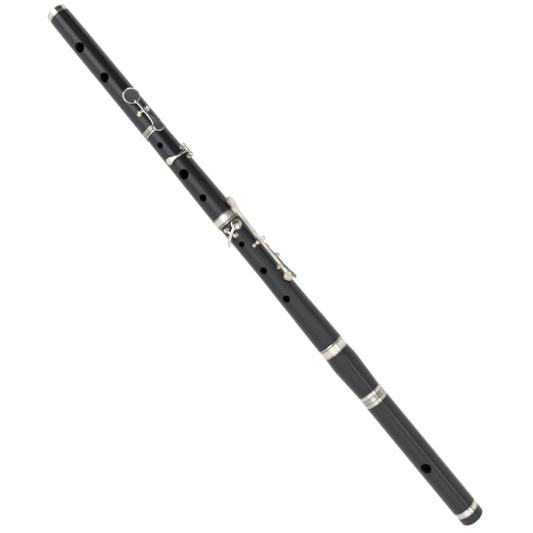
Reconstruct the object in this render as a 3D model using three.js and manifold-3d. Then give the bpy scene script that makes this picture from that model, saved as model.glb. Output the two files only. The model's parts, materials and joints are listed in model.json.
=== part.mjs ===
// A conical-bore concert flute of the simple system: four wooden sections and a barrel,
// metal rings at the sockets, a tuning slide, and five keys hung between ball-headed posts.
//
// Millimetres. +X runs along the bore from the foot to the head, +Y is the player's side and
// +Z is up. The flute lies on the swell of its barrel, and its finger holes are rolled a
// little from the top towards -Y. The origin is on its resting plane, within a millimetre of
// the middle of its length.

import * as THREE from 'three';
import { mergeVertices } from 'three/addons/utils/BufferGeometryUtils.js';
import Module from 'manifold-3d';

const wasm = await Module();
wasm.setup();

// ------------------------------------------------------------ driving dimensions

const TUBE_SIDES = 24;
const ROUND_SIDES = 12;
const PIN_SIDES = 8;
const GAP = 0.3; // between pieces that touch
const RING_WALL = 0.8;

// stations along the bore
const FOOT_END = -331.6;
const FOOT_END_RING_TOP = -325.6;
const FOOT_SOCKET_RING = -179.0;
const FOOT_TOP = -172.4;
const LOWER_BODY_RING = -65.5;
const LOWER_BODY_TOP = -55.2;
const BARREL_BOTTOM = 103.8;
const BARREL_LOWER_RING_TOP = 114.4;
const BARREL_UPPER_RING = 166.1;
const BARREL_TOP = 172.7;
const HEAD_LOWER_RING_TOP = 179.1;
const HEAD_END_RING = 316.8;
const HEAD_TOP = 322.9;
const CAP_TOP = 333.2;

// sockets and the tenons in them
const FOOT_SOCKET = { depth: 20, radius: 8.8 };
const LOWER_BODY_SOCKET = { depth: 26, radius: 10.2 };
const BARREL_SOCKET = { depth: 25, radius: 11.5 };
const TENON_END_GAP = 0.5;
const LAPPING_DEPTH = 0.8;
const LAPPING_MARGIN = 4;

// outer radii of the rings
const FOOT_END_RADIUS = 11.35;
const FOOT_SOCKET_RING_RADIUS = 12.4;
const LOWER_BODY_RING_RADIUS = 13.65;
const BARREL_LOWER_RING_RADIUS = 13.9;
const BARREL_UPPER_RING_RADIUS = 12.85;
const HEAD_END_RING_RADIUS = 13.0;
const HEAD_RADIUS = 13.15;
const CAP_RADIUS = 12.9;
const CAP_ROUND = [[2.4, 0], [0.8, 0.8], [0, 2.6]]; // [back from the top, in from the side]

// tuning slide, head bore and stopper
const LINING = { inner: 9.2, outer: 9.7, bottom: 132.5, top: 305 };
const SLIDE_TUBE = { inner: 10.0, outer: 10.5, bottom: 130.5, top: 172.4 };
const HEAD_BORE = 10.0;
const SLIDE_BORE = 10.8;
const CORK = { radius: 8.9, bottom: 279.1, top: 296 };
const CAP_PLUG = { radius: 9.7, bottom: 308.5 };

// turned outlines of the sections, as [station, radius] from foot to head
const FOOT_OUTLINE = [[-315, 11.6], [-290, 11.85], [-240, 12.0]];
const LOWER_BODY_OUTLINE = [[-150, 12.25], [-125, 12.5], [-105, 12.9], [-80, 13.25]];
const UPPER_BODY_OUTLINE = [[-25, 12.15], [10, 12.15], [35, 12.75], [55, 13.0], [75, 13.5]];
const FOOT_ENDS = [11.4, 12.25]; // the wood's radii where each section's outline starts and stops
const LOWER_BODY_ENDS = [11.75, 13.35];
const UPPER_BODY_ENDS = [12.4, 14.0];
const BARREL_ENDS = [13.75, 12.8];
const BARREL_SWELL = [[121, 14.25], [130, 14.65], [140, 14.15], [150, 13.65], [160, 13.1]];
const FOOT_BORE = [[FOOT_END, 5.9], [-192.4, 5.6]];
const LOWER_BODY_BORE = [[-191.9, 5.7], [-81.2, 7.2]];
const UPPER_BODY_BORE = [[-80.7, 7.3], [128.3, 9.1]];

// open holes: [station, degrees from the top towards +Y, diameter]
const HOLE_LINE = -24;
const FOOT_HOLES = [[-284.9, HOLE_LINE, 10.3], [-246.0, HOLE_LINE, 10.0]];
const LOWER_BODY_HOLES = [[-158.2, HOLE_LINE, 6.3], [-120.8, HOLE_LINE, 10.7], [-90.3, HOLE_LINE, 7.7]];
const UPPER_BODY_HOLES = [[-30.0, HOLE_LINE, 6.2], [4.2, HOLE_LINE, 7.5], [40.4, HOLE_LINE, 7.5]];
const EMBOUCHURE = { station: 259.6, angle: HOLE_LINE, along: 11.1, across: 10.4 };

// posts and hinges
const POST_STEM = 1.3;
const POST_BALL = 2.3;
const POST_SINK = 2.0;
const DRILL = { low: 2, high: 20 }; // from inside every bore to outside all the wood
const BLADE_ROOM = { low: 0, high: 25, width: 14 }; // holds the blade of any lever
const AXLE_RADIUS = 0.7;
const AXLE_BORE = 1.0;
const AXLE_PROUD = 0.2;
const HINGE_RADIUS = 1.9;

// pads and cups
const PAD = { radius: 4.5, thickness: 2.4 };
const CUP_WALL = 0.6;
const CUP_RISE = 4.2; // from the pad's seat to the crown of the cup
const CUP_EDGE = 1.5; // from the seat to the cup's lower edge
const CUP_ROOF = 3.0; // from the seat to the inside of the crown
const SPRING = { width: 2.2, thickness: 0.4 };

const AXIS_Z = 14.65 * Math.cos(Math.PI / TUBE_SIDES); // the barrel lies on one facet

// ------------------------------------------------------------ materials

function paint(color, roughness, metalness) {
  return () => new THREE.MeshStandardMaterial({ color, roughness, metalness });
}

const blackwood = paint(0x1b1a1c, 0.32, 0);
const nickelSilver = paint(0xc9c3b3, 0.28, 1);
const keyMetal = paint(0xd0cbbd, 0.22, 1);
const steel = paint(0x9a9c9f, 0.35, 1);
const leather = paint(0xb9a07c, 0.8, 0);
const cork = paint(0xb98c5e, 0.9, 0);
const thread = paint(0x8c3b30, 0.85, 0);

// ------------------------------------------------------------ solids

// A three.js geometry as a closed manifold solid facing outwards.
function solid(geometry) {
  const bare = geometry.index ? geometry.toNonIndexed() : geometry.clone();
  bare.deleteAttribute('normal');
  bare.deleteAttribute('uv');
  const merged = mergeVertices(bare, 1e-4);
  const place = merged.attributes.position;
  const corners = [];
  for (let i = 0; i < merged.index.count; i += 3) {
    const [a, b, c] = [0, 1, 2].map((k) => merged.index.getX(i + k));
    if (a !== b && b !== c && c !== a) corners.push([a, b, c]);
  }
  const point = (i) => new THREE.Vector3().fromBufferAttribute(place, i);
  const volume = corners.reduce((sum, [a, b, c]) => sum + point(a).dot(point(b).cross(point(c))), 0);
  const triVerts = new Uint32Array(corners.flatMap(([a, b, c]) => (volume < 0 ? [a, c, b] : [a, b, c])));
  const vertProperties = new Float32Array(place.array);
  return new wasm.Manifold(new wasm.Mesh({ numProp: 3, vertProperties, triVerts }));
}

function toGeometry(body) {
  const mesh = body.getMesh();
  const geometry = new THREE.BufferGeometry();
  geometry.setAttribute('position', new THREE.BufferAttribute(mesh.vertProperties, 3));
  geometry.setIndex(new THREE.BufferAttribute(mesh.triVerts, 1));
  return geometry;
}

const joined = (bodies) => bodies.reduce((a, b) => a.add(b));
const cut = (body, cutters) => cutters.reduce((a, b) => a.subtract(b), body);

// A turned piece on the X axis from [station, radius] points, which close on themselves.
function turned(outline, sides = TUBE_SIDES) {
  const loop = [...outline, outline[0]].map(([x, r]) => new THREE.Vector2(r, x));
  const geometry = new THREE.LatheGeometry(loop, sides);
  geometry.rotateZ(-Math.PI / 2);
  geometry.rotateX(Math.PI / sides);
  return geometry;
}

// A turned piece on the Z axis from [radius, height] points.
function spun(outline, sides = ROUND_SIDES) {
  const loop = [...outline, outline[0]].map(([r, z]) => new THREE.Vector2(r, z));
  const geometry = new THREE.LatheGeometry(loop, sides);
  geometry.rotateX(Math.PI / 2);
  return geometry;
}

const rod = (radius, low, high, sides = ROUND_SIDES) =>
  spun([[0, low], [radius, low], [radius, high], [0, high]], sides);

// The frame of a place on the tube: local X runs along the bore, local Z out from its axis.
function seatFrame(station, degrees) {
  const group = new THREE.Group();
  group.position.x = station;
  group.rotation.x = -THREE.MathUtils.degToRad(degrees);
  group.updateMatrix();
  return group;
}

const placed = (geometry, frame) => geometry.applyMatrix4(frame.matrix);

// A flat outline in X and Y, raised from low to high.
function raised(points, low, high) {
  const shape = new THREE.Shape(points.map(([x, y]) => new THREE.Vector2(x, y)));
  const geometry = new THREE.ExtrudeGeometry(shape, { depth: high - low, bevelEnabled: false });
  return geometry.translate(0, 0, low);
}

// A bar of even thickness along [x, z] points, width wide across Y.
function bar(points, thickness, width) {
  const edge = (side) => points.map(([x, z]) => [x, z + side * thickness / 2]);
  const geometry = raised([...edge(-1), ...edge(1).reverse()], -width / 2, width / 2);
  return geometry.rotateX(Math.PI / 2);
}

// A strip bent round the bore axis along [degrees, radius] points, between two stations.
function hoop(points, thickness, low, high) {
  const edge = (side) => points.map(([degrees, r]) => {
    const angle = THREE.MathUtils.degToRad(degrees);
    const radius = r + side * thickness / 2;
    return [radius * Math.sin(angle), radius * Math.cos(angle)];
  });
  const geometry = raised([...edge(-1), ...edge(1).reverse()], low, high);
  const turn = new THREE.Matrix4().makeBasis(
    new THREE.Vector3(0, 1, 0), new THREE.Vector3(0, 0, 1), new THREE.Vector3(1, 0, 0));
  return geometry.applyMatrix4(turn);
}

// A plan outline that follows a line of [x, y, half width] points, with a round at each end.
function leaf(stations) {
  const corner = (i, side) => {
    const [x, y, half] = stations[i];
    const before = stations[Math.max(i - 1, 0)];
    const after = stations[Math.min(i + 1, stations.length - 1)];
    const along = new THREE.Vector2(after[0] - before[0], after[1] - before[1]).normalize();
    return [x - side * half * along.y, y + side * half * along.x];
  };
  const order = stations.map((_, i) => i);
  return [...order.map((i) => corner(i, 1)), ...order.reverse().map((i) => corner(i, -1))];
}

// ------------------------------------------------------------ scene graph

const flute = new THREE.Group();
flute.position.z = AXIS_Z;

function addMesh(name, geometry, material, parent = flute) {
  const mesh = new THREE.Mesh(toGeometry(solid(geometry)), material());
  mesh.name = name;
  parent.add(mesh);
  return mesh;
}

// ------------------------------------------------------------ wooden sections

// Outline of a tenon, from its shoulder to its end, with the groove for its lapping.
function tenonOutline(shoulder, end, radius) {
  const way = Math.sign(end - shoulder);
  const low = shoulder + way * LAPPING_MARGIN;
  const high = end - way * LAPPING_MARGIN;
  const groove = radius - LAPPING_DEPTH;
  return [[shoulder, radius], [low, radius], [low, groove], [high, groove], [high, radius], [end, radius]];
}

// The thread wound in a tenon's groove.
function addLapping(name, shoulder, end, radius) {
  const way = Math.sign(end - shoulder);
  const low = shoulder + way * (LAPPING_MARGIN + GAP);
  const high = end - way * (LAPPING_MARGIN + GAP);
  const inner = radius - LAPPING_DEPTH + GAP;
  addMesh(name, turned([[low, inner], [low, radius], [high, radius], [high, inner]]), thread);
}

function holeCutter([station, degrees, diameter]) {
  const reach = rod(diameter / 2, DRILL.low, DRILL.high);
  return solid(placed(reach, seatFrame(station, degrees)));
}

// A drilled hole under a pad, with the flat that the pad closes on.
function padHoleCutters({ station, degrees, hole, pocket, seat }) {
  const frame = seatFrame(station, degrees);
  return [
    solid(placed(rod(hole / 2, DRILL.low, DRILL.high), frame)),
    solid(placed(rod(pocket, seat, DRILL.high), frame)),
  ];
}

// The flat of a pocket that just meets the round of the wood at its rim.
const seatHeight = (wood, pocket) => Math.sqrt(wood ** 2 - pocket ** 2);

// ------------------------------------------------------------ keys

// A hinge between two posts: its frame on the tube, the axle's height and half spacing,
// and the turn of the axle in that frame, where 90 degrees lies across the bore.
const KEYS = {
  eb: {
    frame: seatFrame(-194.8, 19), height: 14.9, half: 4.9, turn: 90, wood: 12.15,
    pad: { station: -213.8, degrees: 19, hole: 8, pocket: 6.5, seat: seatHeight(12.05, 6.5) },
  },
  f: {
    frame: seatFrame(-138.0, 57), height: 16.4, half: 5.6, turn: 0, wood: 12.35,
    pad: { station: -138.0, degrees: 115, hole: 7, pocket: 5, seat: seatHeight(12.35, 5) },
  },
  gsharp: {
    frame: seatFrame(-45.35, -23), height: 15.6, half: 5.2, turn: 24.6, wood: 12.35,
    pad: { station: -48.8, degrees: 17.5, hole: 6.5, pocket: 5, seat: seatHeight(12.35, 5) },
  },
  bflat: {
    frame: seatFrame(0.7, 112), height: 15.9, half: 5.5, turn: 90, wood: 12.15,
    pad: { station: -13.0, degrees: 112, hole: 6, pocket: 5, seat: seatHeight(12.15, 5) },
  },
  c: {
    frame: seatFrame(-21.2, 51), height: 15.9, half: 6.0, turn: 90, wood: 12.15,
    pad: { station: 23.7, degrees: 51, hole: 6.5, pocket: 5, seat: seatHeight(12.35, 5) },
  },
};

const GUIDE = { station: 11.2, degrees: 51, half: 2.6, prong: 1.0, length: 2.4, base: 13.0, top: 17.2 };

// Where a key's two posts stand in its hinge frame.
function postPlaces({ half, turn }) {
  const angle = THREE.MathUtils.degToRad(turn);
  return [-half, half].map((reach) => [reach * Math.cos(angle), reach * Math.sin(angle)]);
}

// How deep a post's stem starts at a place on the round of the wood.
const stemFoot = (wood, y) => Math.sqrt(wood ** 2 - y ** 2) - POST_SINK;

function postSocketCutters(key) {
  return postPlaces(key).map(([x, y]) => {
    const low = stemFoot(key.wood, y) - GAP;
    return solid(placed(rod(POST_STEM + GAP, low, DRILL.high).translate(x, y, 0), key.frame));
  });
}

// A straight rod through a hinge, along its axle.
function axleRod(radius, reach, { height, turn }) {
  const geometry = rod(radius, -reach, reach, PIN_SIDES);
  geometry.rotateY(Math.PI / 2);
  geometry.rotateZ(THREE.MathUtils.degToRad(turn));
  return geometry.translate(0, 0, height);
}

function post(key, [x, y]) {
  const { height } = key;
  const low = stemFoot(key.wood, y);
  const neck = Math.asin(POST_STEM / POST_BALL);
  const steps = 4;
  const ball = [];
  for (let i = 0; i <= steps; i += 1) {
    const angle = neck + (Math.PI - neck) * i / steps;
    ball.push([i === steps ? 0 : POST_BALL * Math.sin(angle), height - POST_BALL * Math.cos(angle)]);
  }
  const stem = spun([[0, low], [POST_STEM, low], ...ball], PIN_SIDES).translate(x, y, 0);
  const drill = axleRod(AXLE_BORE, DRILL.high, key);
  return toGeometry(solid(stem).subtract(solid(drill)));
}

// The pivot's posts and axle, which stay with the wood.
function addHinge(name, key) {
  flute.add(key.frame);
  postPlaces(key).forEach((place, i) => {
    addMesh(`${name}_post_${i + 1}`, post(key, place), keyMetal, key.frame);
  });
  const reach = key.half + POST_BALL + AXLE_PROUD;
  addMesh(`${name}_axle`, axleRod(AXLE_RADIUS, reach, key), steel, key.frame);
}

// The tube of a lever that turns on the axle, and the bore to cut through it.
function hingeTube(key) {
  const reach = key.half - POST_BALL - GAP;
  return solid(axleRod(HINGE_RADIUS, reach, key));
}

const hingeBore = (key) => solid(axleRod(AXLE_BORE, DRILL.high, key));

// A domed cup over its pad, as a shell open towards the tube.
function domedCup(seat) {
  const outer = PAD.radius + GAP + CUP_WALL;
  const inner = PAD.radius + GAP;
  const crown = seat + CUP_RISE;
  return spun([
    [0, crown], [outer * 0.5, crown - 0.15], [outer * 0.85, crown - 0.6], [outer, crown - 1.2],
    [outer, seat + CUP_EDGE], [inner, seat + CUP_EDGE], [inner, seat + CUP_ROOF], [0, seat + CUP_ROOF],
  ]);
}

const padDisc = (radius, seat, thickness) => rod(radius, seat + GAP, seat + GAP + thickness);

// The space in a domed cup that its pad takes.
const cupHollow = (seat) => rod(PAD.radius + GAP, seat - 2, seat + CUP_ROOF);

function addLever(name, key, parts, hollow) {
  const whole = joined(parts.map(solid).concat(hingeTube(key)));
  const lever = cut(whole, [hingeBore(key), solid(hollow)]);
  addMesh(`${name}_lever`, toGeometry(lever), keyMetal, key.frame);
}

// The blade of a lever that lies along the bore: a bent bar, trimmed to its plan.
function bladeAlong(line, thickness, plan) {
  const strip = solid(bar(line, thickness, BLADE_ROOM.width));
  return toGeometry(strip.intersect(solid(raised(plan, BLADE_ROOM.low, BLADE_ROOM.high))));
}

// Keys whose levers lie along the bore share one frame with their cup and touch.
const alongFrom = (key) => key.pad.station - key.frame.position.x;

function addEbKey() {
  const key = KEYS.eb;
  const { seat } = key.pad;
  const cup = alongFrom(key);
  const disc = { radius: 8.45, low: 14.0, high: 15.0 };
  const rim = { outer: 6.8, inner: 6.2, low: 12.2 };
  const cupShape = spun([
    [0, disc.high], [disc.radius, disc.high], [disc.radius, disc.low], [rim.outer, disc.low],
    [rim.outer, rim.low], [rim.inner, rim.low], [rim.inner, disc.low - 0.1], [0, disc.low - 0.1],
  ], TUBE_SIDES).translate(cup, 0, 0);
  const line = [[cup + 5, 15.0], [cup + 9.5, 15.6], [0, 16.0], [11, 16.1], [20, 16.3], [26.9, 16.9]];
  const plan = leaf([
    [cup + 5, 0, 1.15], [9, 0, 1.15], [13, 0.3, 2.2], [16.5, 0.8, 3.9], [20, 1.1, 5.2],
    [23, 1.1, 5.3], [25.5, 1.1, 3.8], [26.9, 1.1, 1.6],
  ]);
  const blade = bladeAlong(line, 1.3, plan);
  const hollow = rod(rim.inner, seat - 2, disc.low - 0.1, TUBE_SIDES).translate(cup, 0, 0);
  addLever('eb_key', key, [cupShape, blade], hollow);
  addMesh('eb_key_pad', padDisc(5.9, seat, 3.1).translate(cup, 0, 0), leather, key.frame);
  const spring = bar([[5, 13.2], [9, 14.3], [14, 15.2]], SPRING.thickness, SPRING.width);
  addMesh('eb_key_spring', spring, steel, key.frame);
}

function addCKey() {
  const key = KEYS.c;
  const { seat } = key.pad;
  const cup = alongFrom(key);
  const cupShape = domedCup(seat).translate(cup, 0, 0);
  const end = cup - 4;
  const line = [[-54.5, 18.1], [-47, 17.9], [-40, 17.7], [-30, 17.0], [0, 16.2], [32, 15.9], [end, 15.4]];
  const plan = leaf([
    [-54.5, 1, 1.8], [-53.4, 1, 3.4], [-50.5, 1, 4.7], [-47, 1, 4.9], [-43.5, 0.8, 4.2],
    [-40, 0.4, 3.0], [-36, 0.1, 2.4], [-20, 0, 2.1], [0, 0, 1.9], [end, 0, 1.7],
  ]);
  const blade = bladeAlong(line, 1.9, plan);
  addLever('c_key', key, [cupShape, blade], cupHollow(seat).translate(cup, 0, 0));
  addMesh('c_key_pad', padDisc(PAD.radius, seat, PAD.thickness).translate(cup, 0, 0), leather, key.frame);
  const spring = bar([[-5, 13.1], [-12, 14.2], [-18, 15.2]], SPRING.thickness, SPRING.width);
  addMesh('c_key_spring', spring, steel, key.frame);
}

function addBflatKey() {
  const key = KEYS.bflat;
  const { seat } = key.pad;
  const cup = alongFrom(key);
  const cupShape = domedCup(seat).translate(cup, 0, 0);
  const line = [[cup, 14.6], [cup + 6, 15.4], [0, 16.2], [10, 16.4], [20, 16.7], [30.1, 18.0]];
  const plan = leaf([
    [cup, 0, 1.5], [8, 0, 1.5], [14, 0, 2.0], [20, 0, 3.4], [25, 0, 4.6], [28, 0, 4.0], [30.1, 0, 1.8],
  ]);
  const blade = bladeAlong(line, 1.4, plan);
  addLever('bflat_key', key, [cupShape, blade], cupHollow(seat).translate(cup, 0, 0));
  addMesh('bflat_key_pad', padDisc(PAD.radius, seat, PAD.thickness).translate(cup, 0, 0),
    leather, key.frame);
  const spring = bar([[5, 13.1], [10, 14.2], [15, 15.4]], SPRING.thickness, SPRING.width);
  addMesh('bflat_key_spring', spring, steel, key.frame);
}

// Keys that cross the tube are laid out round the bore axis, then brought into their
// hinge's frame.
function acrossParts(key, strip, plan, low) {
  const blade = solid(strip).intersect(solid(raised(plan, low, BLADE_ROOM.high)));
  const cupFrame = seatFrame(alongFrom(key), key.pad.degrees);
  const cup = placed(domedCup(key.pad.seat), cupFrame);
  const hollow = placed(cupHollow(key.pad.seat), cupFrame);
  const back = new THREE.Matrix4().makeRotationX(-key.frame.rotation.x);
  return [toGeometry(blade), cup, hollow].map((geometry) => geometry.applyMatrix4(back));
}

function addAcrossPad(name, key) {
  const holder = new THREE.Group();
  holder.position.x = alongFrom(key);
  holder.rotation.x = -THREE.MathUtils.degToRad(key.pad.degrees) - key.frame.rotation.x;
  key.frame.add(holder);
  addMesh(`${name}_pad`, padDisc(PAD.radius, key.pad.seat, PAD.thickness), leather, holder);
}

function addFKey() {
  const key = KEYS.f;
  const strip = hoop([[-46, 15.5], [-32, 15.35], [-16, 15.35], [0, 15.35], [16, 15.35], [32, 15.5],
    [46, 15.9], [60, 15.9], [78, 15.5], [96, 15.2], [113, 14.9]], 1.3, -6, 6);
  const plan = leaf([
    [0, -10.8, 1.4], [0, -9.8, 2.5], [0, -8.2, 3.4], [0, -6.2, 3.45], [0, -3.6, 2.6],
    [0, -0.5, 1.75], [0, 2, 1.4], [0, 20, 1.4],
  ]);
  const [blade, cup, hollow] = acrossParts(key, strip, plan, -15);
  addLever('f_key', key, [blade, cup], hollow);
  addAcrossPad('f_key', key);
  const spring = hoop([[40, 13.6], [30, 14.0], [18, 14.4]], SPRING.thickness, -1.1, 1.1);
  const back = new THREE.Matrix4().makeRotationX(-key.frame.rotation.x);
  addMesh('f_key_spring', spring.applyMatrix4(back), steel, key.frame);
}

function addGsharpKey() {
  const key = KEYS.gsharp;
  const strip = hoop([[17.5, 15.0], [6, 15.5], [-8, 15.9], [-23, 16.1], [-38, 16.5], [-52, 17.3],
    [-64, 18.4]], 1.3, -12, 16);
  const plan = leaf([
    [-2.5, 3.4, 1.2], [-1.7, 0, 1.1], [-0.5, -3, 1.1], [1.1, -6.2, 1.15], [3.0, -9.5, 1.4],
    [5.1, -12.2, 1.8], [7.5, -14.5, 2.2], [10, -16.2, 1.5],
  ]);
  const [blade, cup, hollow] = acrossParts(key, strip, plan, 0);
  addLever('gsharp_key', key, [blade, cup], hollow);
  addAcrossPad('gsharp_key', key);
  const spring = hoop([[-33, 13.6], [-41, 14.2], [-50, 15.0]], SPRING.thickness, 3.0, 4.8);
  const back = new THREE.Matrix4().makeRotationX(-key.frame.rotation.x);
  addMesh('gsharp_key_spring', spring.applyMatrix4(back), steel, key.frame);
}

// ------------------------------------------------------------ the C key's guide

function guideParts() {
  const { half, prong, length, base, top } = GUIDE;
  const wide = half + prong;
  const low = stemFoot(KEYS.c.wood, 0);
  const profile = [[-wide, base - 0.6], [wide, base - 0.6], [wide, top], [half, top], [half, base],
    [-half, base], [-half, top], [-wide, top]];
  const fork = raised(profile, -length / 2, length / 2);
  fork.applyMatrix4(new THREE.Matrix4().makeBasis(
    new THREE.Vector3(0, 1, 0), new THREE.Vector3(0, 0, 1), new THREE.Vector3(1, 0, 0)));
  return joined([solid(fork), solid(rod(POST_STEM, low, base - 0.3, PIN_SIDES))]);
}

function guideSocketCutter() {
  const low = stemFoot(KEYS.c.wood, 0) - GAP;
  return solid(placed(rod(POST_STEM + GAP, low, DRILL.high), seatFrame(GUIDE.station, GUIDE.degrees)));
}

// ------------------------------------------------------------ build

const under = (ring) => ring - RING_WALL - GAP;
const shoulderOf = (station) => station + GAP;

const footSocketEnd = FOOT_TOP - FOOT_SOCKET.depth;
const lowerSocketEnd = LOWER_BODY_TOP - LOWER_BODY_SOCKET.depth;
const barrelSocketEnd = BARREL_BOTTOM + BARREL_SOCKET.depth;
const footTenonEnd = footSocketEnd + TENON_END_GAP;
const lowerTenonEnd = lowerSocketEnd + TENON_END_GAP;
const upperTenonEnd = barrelSocketEnd - TENON_END_GAP;
const footTenonRadius = FOOT_SOCKET.radius - GAP;
const lowerTenonRadius = LOWER_BODY_SOCKET.radius - GAP;
const upperTenonRadius = BARREL_SOCKET.radius - GAP;
const upperShoulder = BARREL_BOTTOM - GAP;

function addFootJoint() {
  const outline = [
    ...FOOT_BORE.slice(0, 1), [FOOT_END, under(FOOT_END_RADIUS)],
    [FOOT_END_RING_TOP + GAP, under(FOOT_END_RADIUS)], [FOOT_END_RING_TOP + GAP, FOOT_ENDS[0]],
    ...FOOT_OUTLINE, [FOOT_SOCKET_RING - GAP, FOOT_ENDS[1]],
    [FOOT_SOCKET_RING - GAP, under(FOOT_SOCKET_RING_RADIUS)], [FOOT_TOP, under(FOOT_SOCKET_RING_RADIUS)],
    [FOOT_TOP, FOOT_SOCKET.radius], [footSocketEnd, FOOT_SOCKET.radius], ...FOOT_BORE.slice(1),
  ];
  const wood = cut(solid(turned(outline)), [
    ...FOOT_HOLES.map(holeCutter), ...padHoleCutters(KEYS.eb.pad), ...postSocketCutters(KEYS.eb),
  ]);
  addMesh('foot_joint', toGeometry(wood), blackwood);
}

function addLowerBody() {
  const shoulder = shoulderOf(FOOT_TOP);
  const tenon = tenonOutline(shoulder, footTenonEnd, footTenonRadius).reverse();
  const outline = [
    LOWER_BODY_BORE[0], ...tenon, [shoulder, LOWER_BODY_ENDS[0]], ...LOWER_BODY_OUTLINE,
    [LOWER_BODY_RING - GAP, LOWER_BODY_ENDS[1]], [LOWER_BODY_RING - GAP, under(LOWER_BODY_RING_RADIUS)],
    [LOWER_BODY_TOP, under(LOWER_BODY_RING_RADIUS)], [LOWER_BODY_TOP, LOWER_BODY_SOCKET.radius],
    [lowerSocketEnd, LOWER_BODY_SOCKET.radius], LOWER_BODY_BORE[1],
  ];
  const wood = cut(solid(turned(outline)), [
    ...LOWER_BODY_HOLES.map(holeCutter), ...padHoleCutters(KEYS.f.pad), ...postSocketCutters(KEYS.f),
  ]);
  addMesh('lower_body', toGeometry(wood), blackwood);
}

function addUpperBody() {
  const shoulder = shoulderOf(LOWER_BODY_TOP);
  const outline = [
    UPPER_BODY_BORE[0], ...tenonOutline(shoulder, lowerTenonEnd, lowerTenonRadius).reverse(),
    [shoulder, UPPER_BODY_ENDS[0]], ...UPPER_BODY_OUTLINE, [upperShoulder, UPPER_BODY_ENDS[1]],
    ...tenonOutline(upperShoulder, upperTenonEnd, upperTenonRadius), UPPER_BODY_BORE[1],
  ];
  const keys = [KEYS.gsharp, KEYS.bflat, KEYS.c];
  const wood = cut(solid(turned(outline)), [
    ...UPPER_BODY_HOLES.map(holeCutter), ...keys.flatMap((key) => padHoleCutters(key.pad)),
    ...keys.flatMap(postSocketCutters), guideSocketCutter(),
  ]);
  addMesh('upper_body', toGeometry(wood), blackwood);
}

function addBarrel() {
  const lip = SLIDE_TUBE.bottom - GAP;
  addMesh('barrel', turned([
    [BARREL_BOTTOM, BARREL_SOCKET.radius], [BARREL_BOTTOM, under(BARREL_LOWER_RING_RADIUS)],
    [BARREL_LOWER_RING_TOP + GAP, under(BARREL_LOWER_RING_RADIUS)],
    [BARREL_LOWER_RING_TOP + GAP, BARREL_ENDS[0]], ...BARREL_SWELL,
    [BARREL_UPPER_RING - GAP, BARREL_ENDS[1]],
    [BARREL_UPPER_RING - GAP, under(BARREL_UPPER_RING_RADIUS)],
    [BARREL_TOP, under(BARREL_UPPER_RING_RADIUS)], [BARREL_TOP, SLIDE_BORE], [lip, SLIDE_BORE],
    [lip, LINING.inner], [barrelSocketEnd, LINING.inner], [barrelSocketEnd, BARREL_SOCKET.radius],
  ]), blackwood);
}

function embouchureCutter() {
  const { station, angle, along, across } = EMBOUCHURE;
  const hole = rod(1, DRILL.low, DRILL.high, TUBE_SIDES).scale(along / 2, across / 2, 1);
  return solid(placed(hole, seatFrame(station, angle)));
}

function addHead() {
  const bottom = shoulderOf(BARREL_TOP);
  const wood = solid(turned([
    [bottom, HEAD_BORE], [bottom, under(BARREL_UPPER_RING_RADIUS)],
    [HEAD_LOWER_RING_TOP + GAP, under(BARREL_UPPER_RING_RADIUS)],
    [HEAD_LOWER_RING_TOP + GAP, HEAD_RADIUS], [HEAD_END_RING - GAP, HEAD_RADIUS],
    [HEAD_END_RING - GAP, under(HEAD_END_RING_RADIUS)], [HEAD_TOP, under(HEAD_END_RING_RADIUS)],
    [HEAD_TOP, HEAD_BORE],
  ]));
  addMesh('head_joint', toGeometry(wood.subtract(embouchureCutter())), blackwood);
  const tube = solid(turned([
    [LINING.bottom, LINING.inner], [LINING.bottom, LINING.outer],
    [LINING.top, LINING.outer], [LINING.top, LINING.inner],
  ]));
  addMesh('head_lining', toGeometry(tube.subtract(embouchureCutter())), nickelSilver);
  addMesh('slide_tube', turned([
    [SLIDE_TUBE.bottom, SLIDE_TUBE.inner], [SLIDE_TUBE.bottom, SLIDE_TUBE.outer],
    [SLIDE_TUBE.top, SLIDE_TUBE.outer], [SLIDE_TUBE.top, SLIDE_TUBE.inner],
  ]), nickelSilver);
  addMesh('stopper_cork', turned([
    [CORK.bottom, 0], [CORK.bottom, CORK.radius], [CORK.top, CORK.radius], [CORK.top, 0],
  ]), cork);
  const capBottom = shoulderOf(HEAD_TOP);
  addMesh('head_cap', turned([
    [CAP_PLUG.bottom, 0], [CAP_PLUG.bottom, CAP_PLUG.radius], [capBottom, CAP_PLUG.radius],
    [capBottom, CAP_RADIUS], ...CAP_ROUND.map(([back, inset]) => [CAP_TOP - back, CAP_RADIUS - inset]),
    [CAP_TOP, 0],
  ]), blackwood);
}

function addRings() {
  const rings = {
    foot_end_ring: [FOOT_END, FOOT_END_RING_TOP, FOOT_END_RADIUS],
    foot_socket_ring: [FOOT_SOCKET_RING, FOOT_TOP, FOOT_SOCKET_RING_RADIUS],
    lower_body_ring: [LOWER_BODY_RING, LOWER_BODY_TOP, LOWER_BODY_RING_RADIUS],
    barrel_lower_ring: [BARREL_BOTTOM, BARREL_LOWER_RING_TOP, BARREL_LOWER_RING_RADIUS],
    barrel_upper_ring: [BARREL_UPPER_RING, BARREL_TOP, BARREL_UPPER_RING_RADIUS],
    head_lower_ring: [shoulderOf(BARREL_TOP), HEAD_LOWER_RING_TOP, BARREL_UPPER_RING_RADIUS],
    head_end_ring: [HEAD_END_RING, HEAD_TOP, HEAD_END_RING_RADIUS],
  };
  for (const [name, [low, high, radius]] of Object.entries(rings)) {
    const inner = radius - RING_WALL;
    addMesh(name, turned([[low, inner], [low, radius], [high, radius], [high, inner]]), nickelSilver);
  }
}

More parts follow.
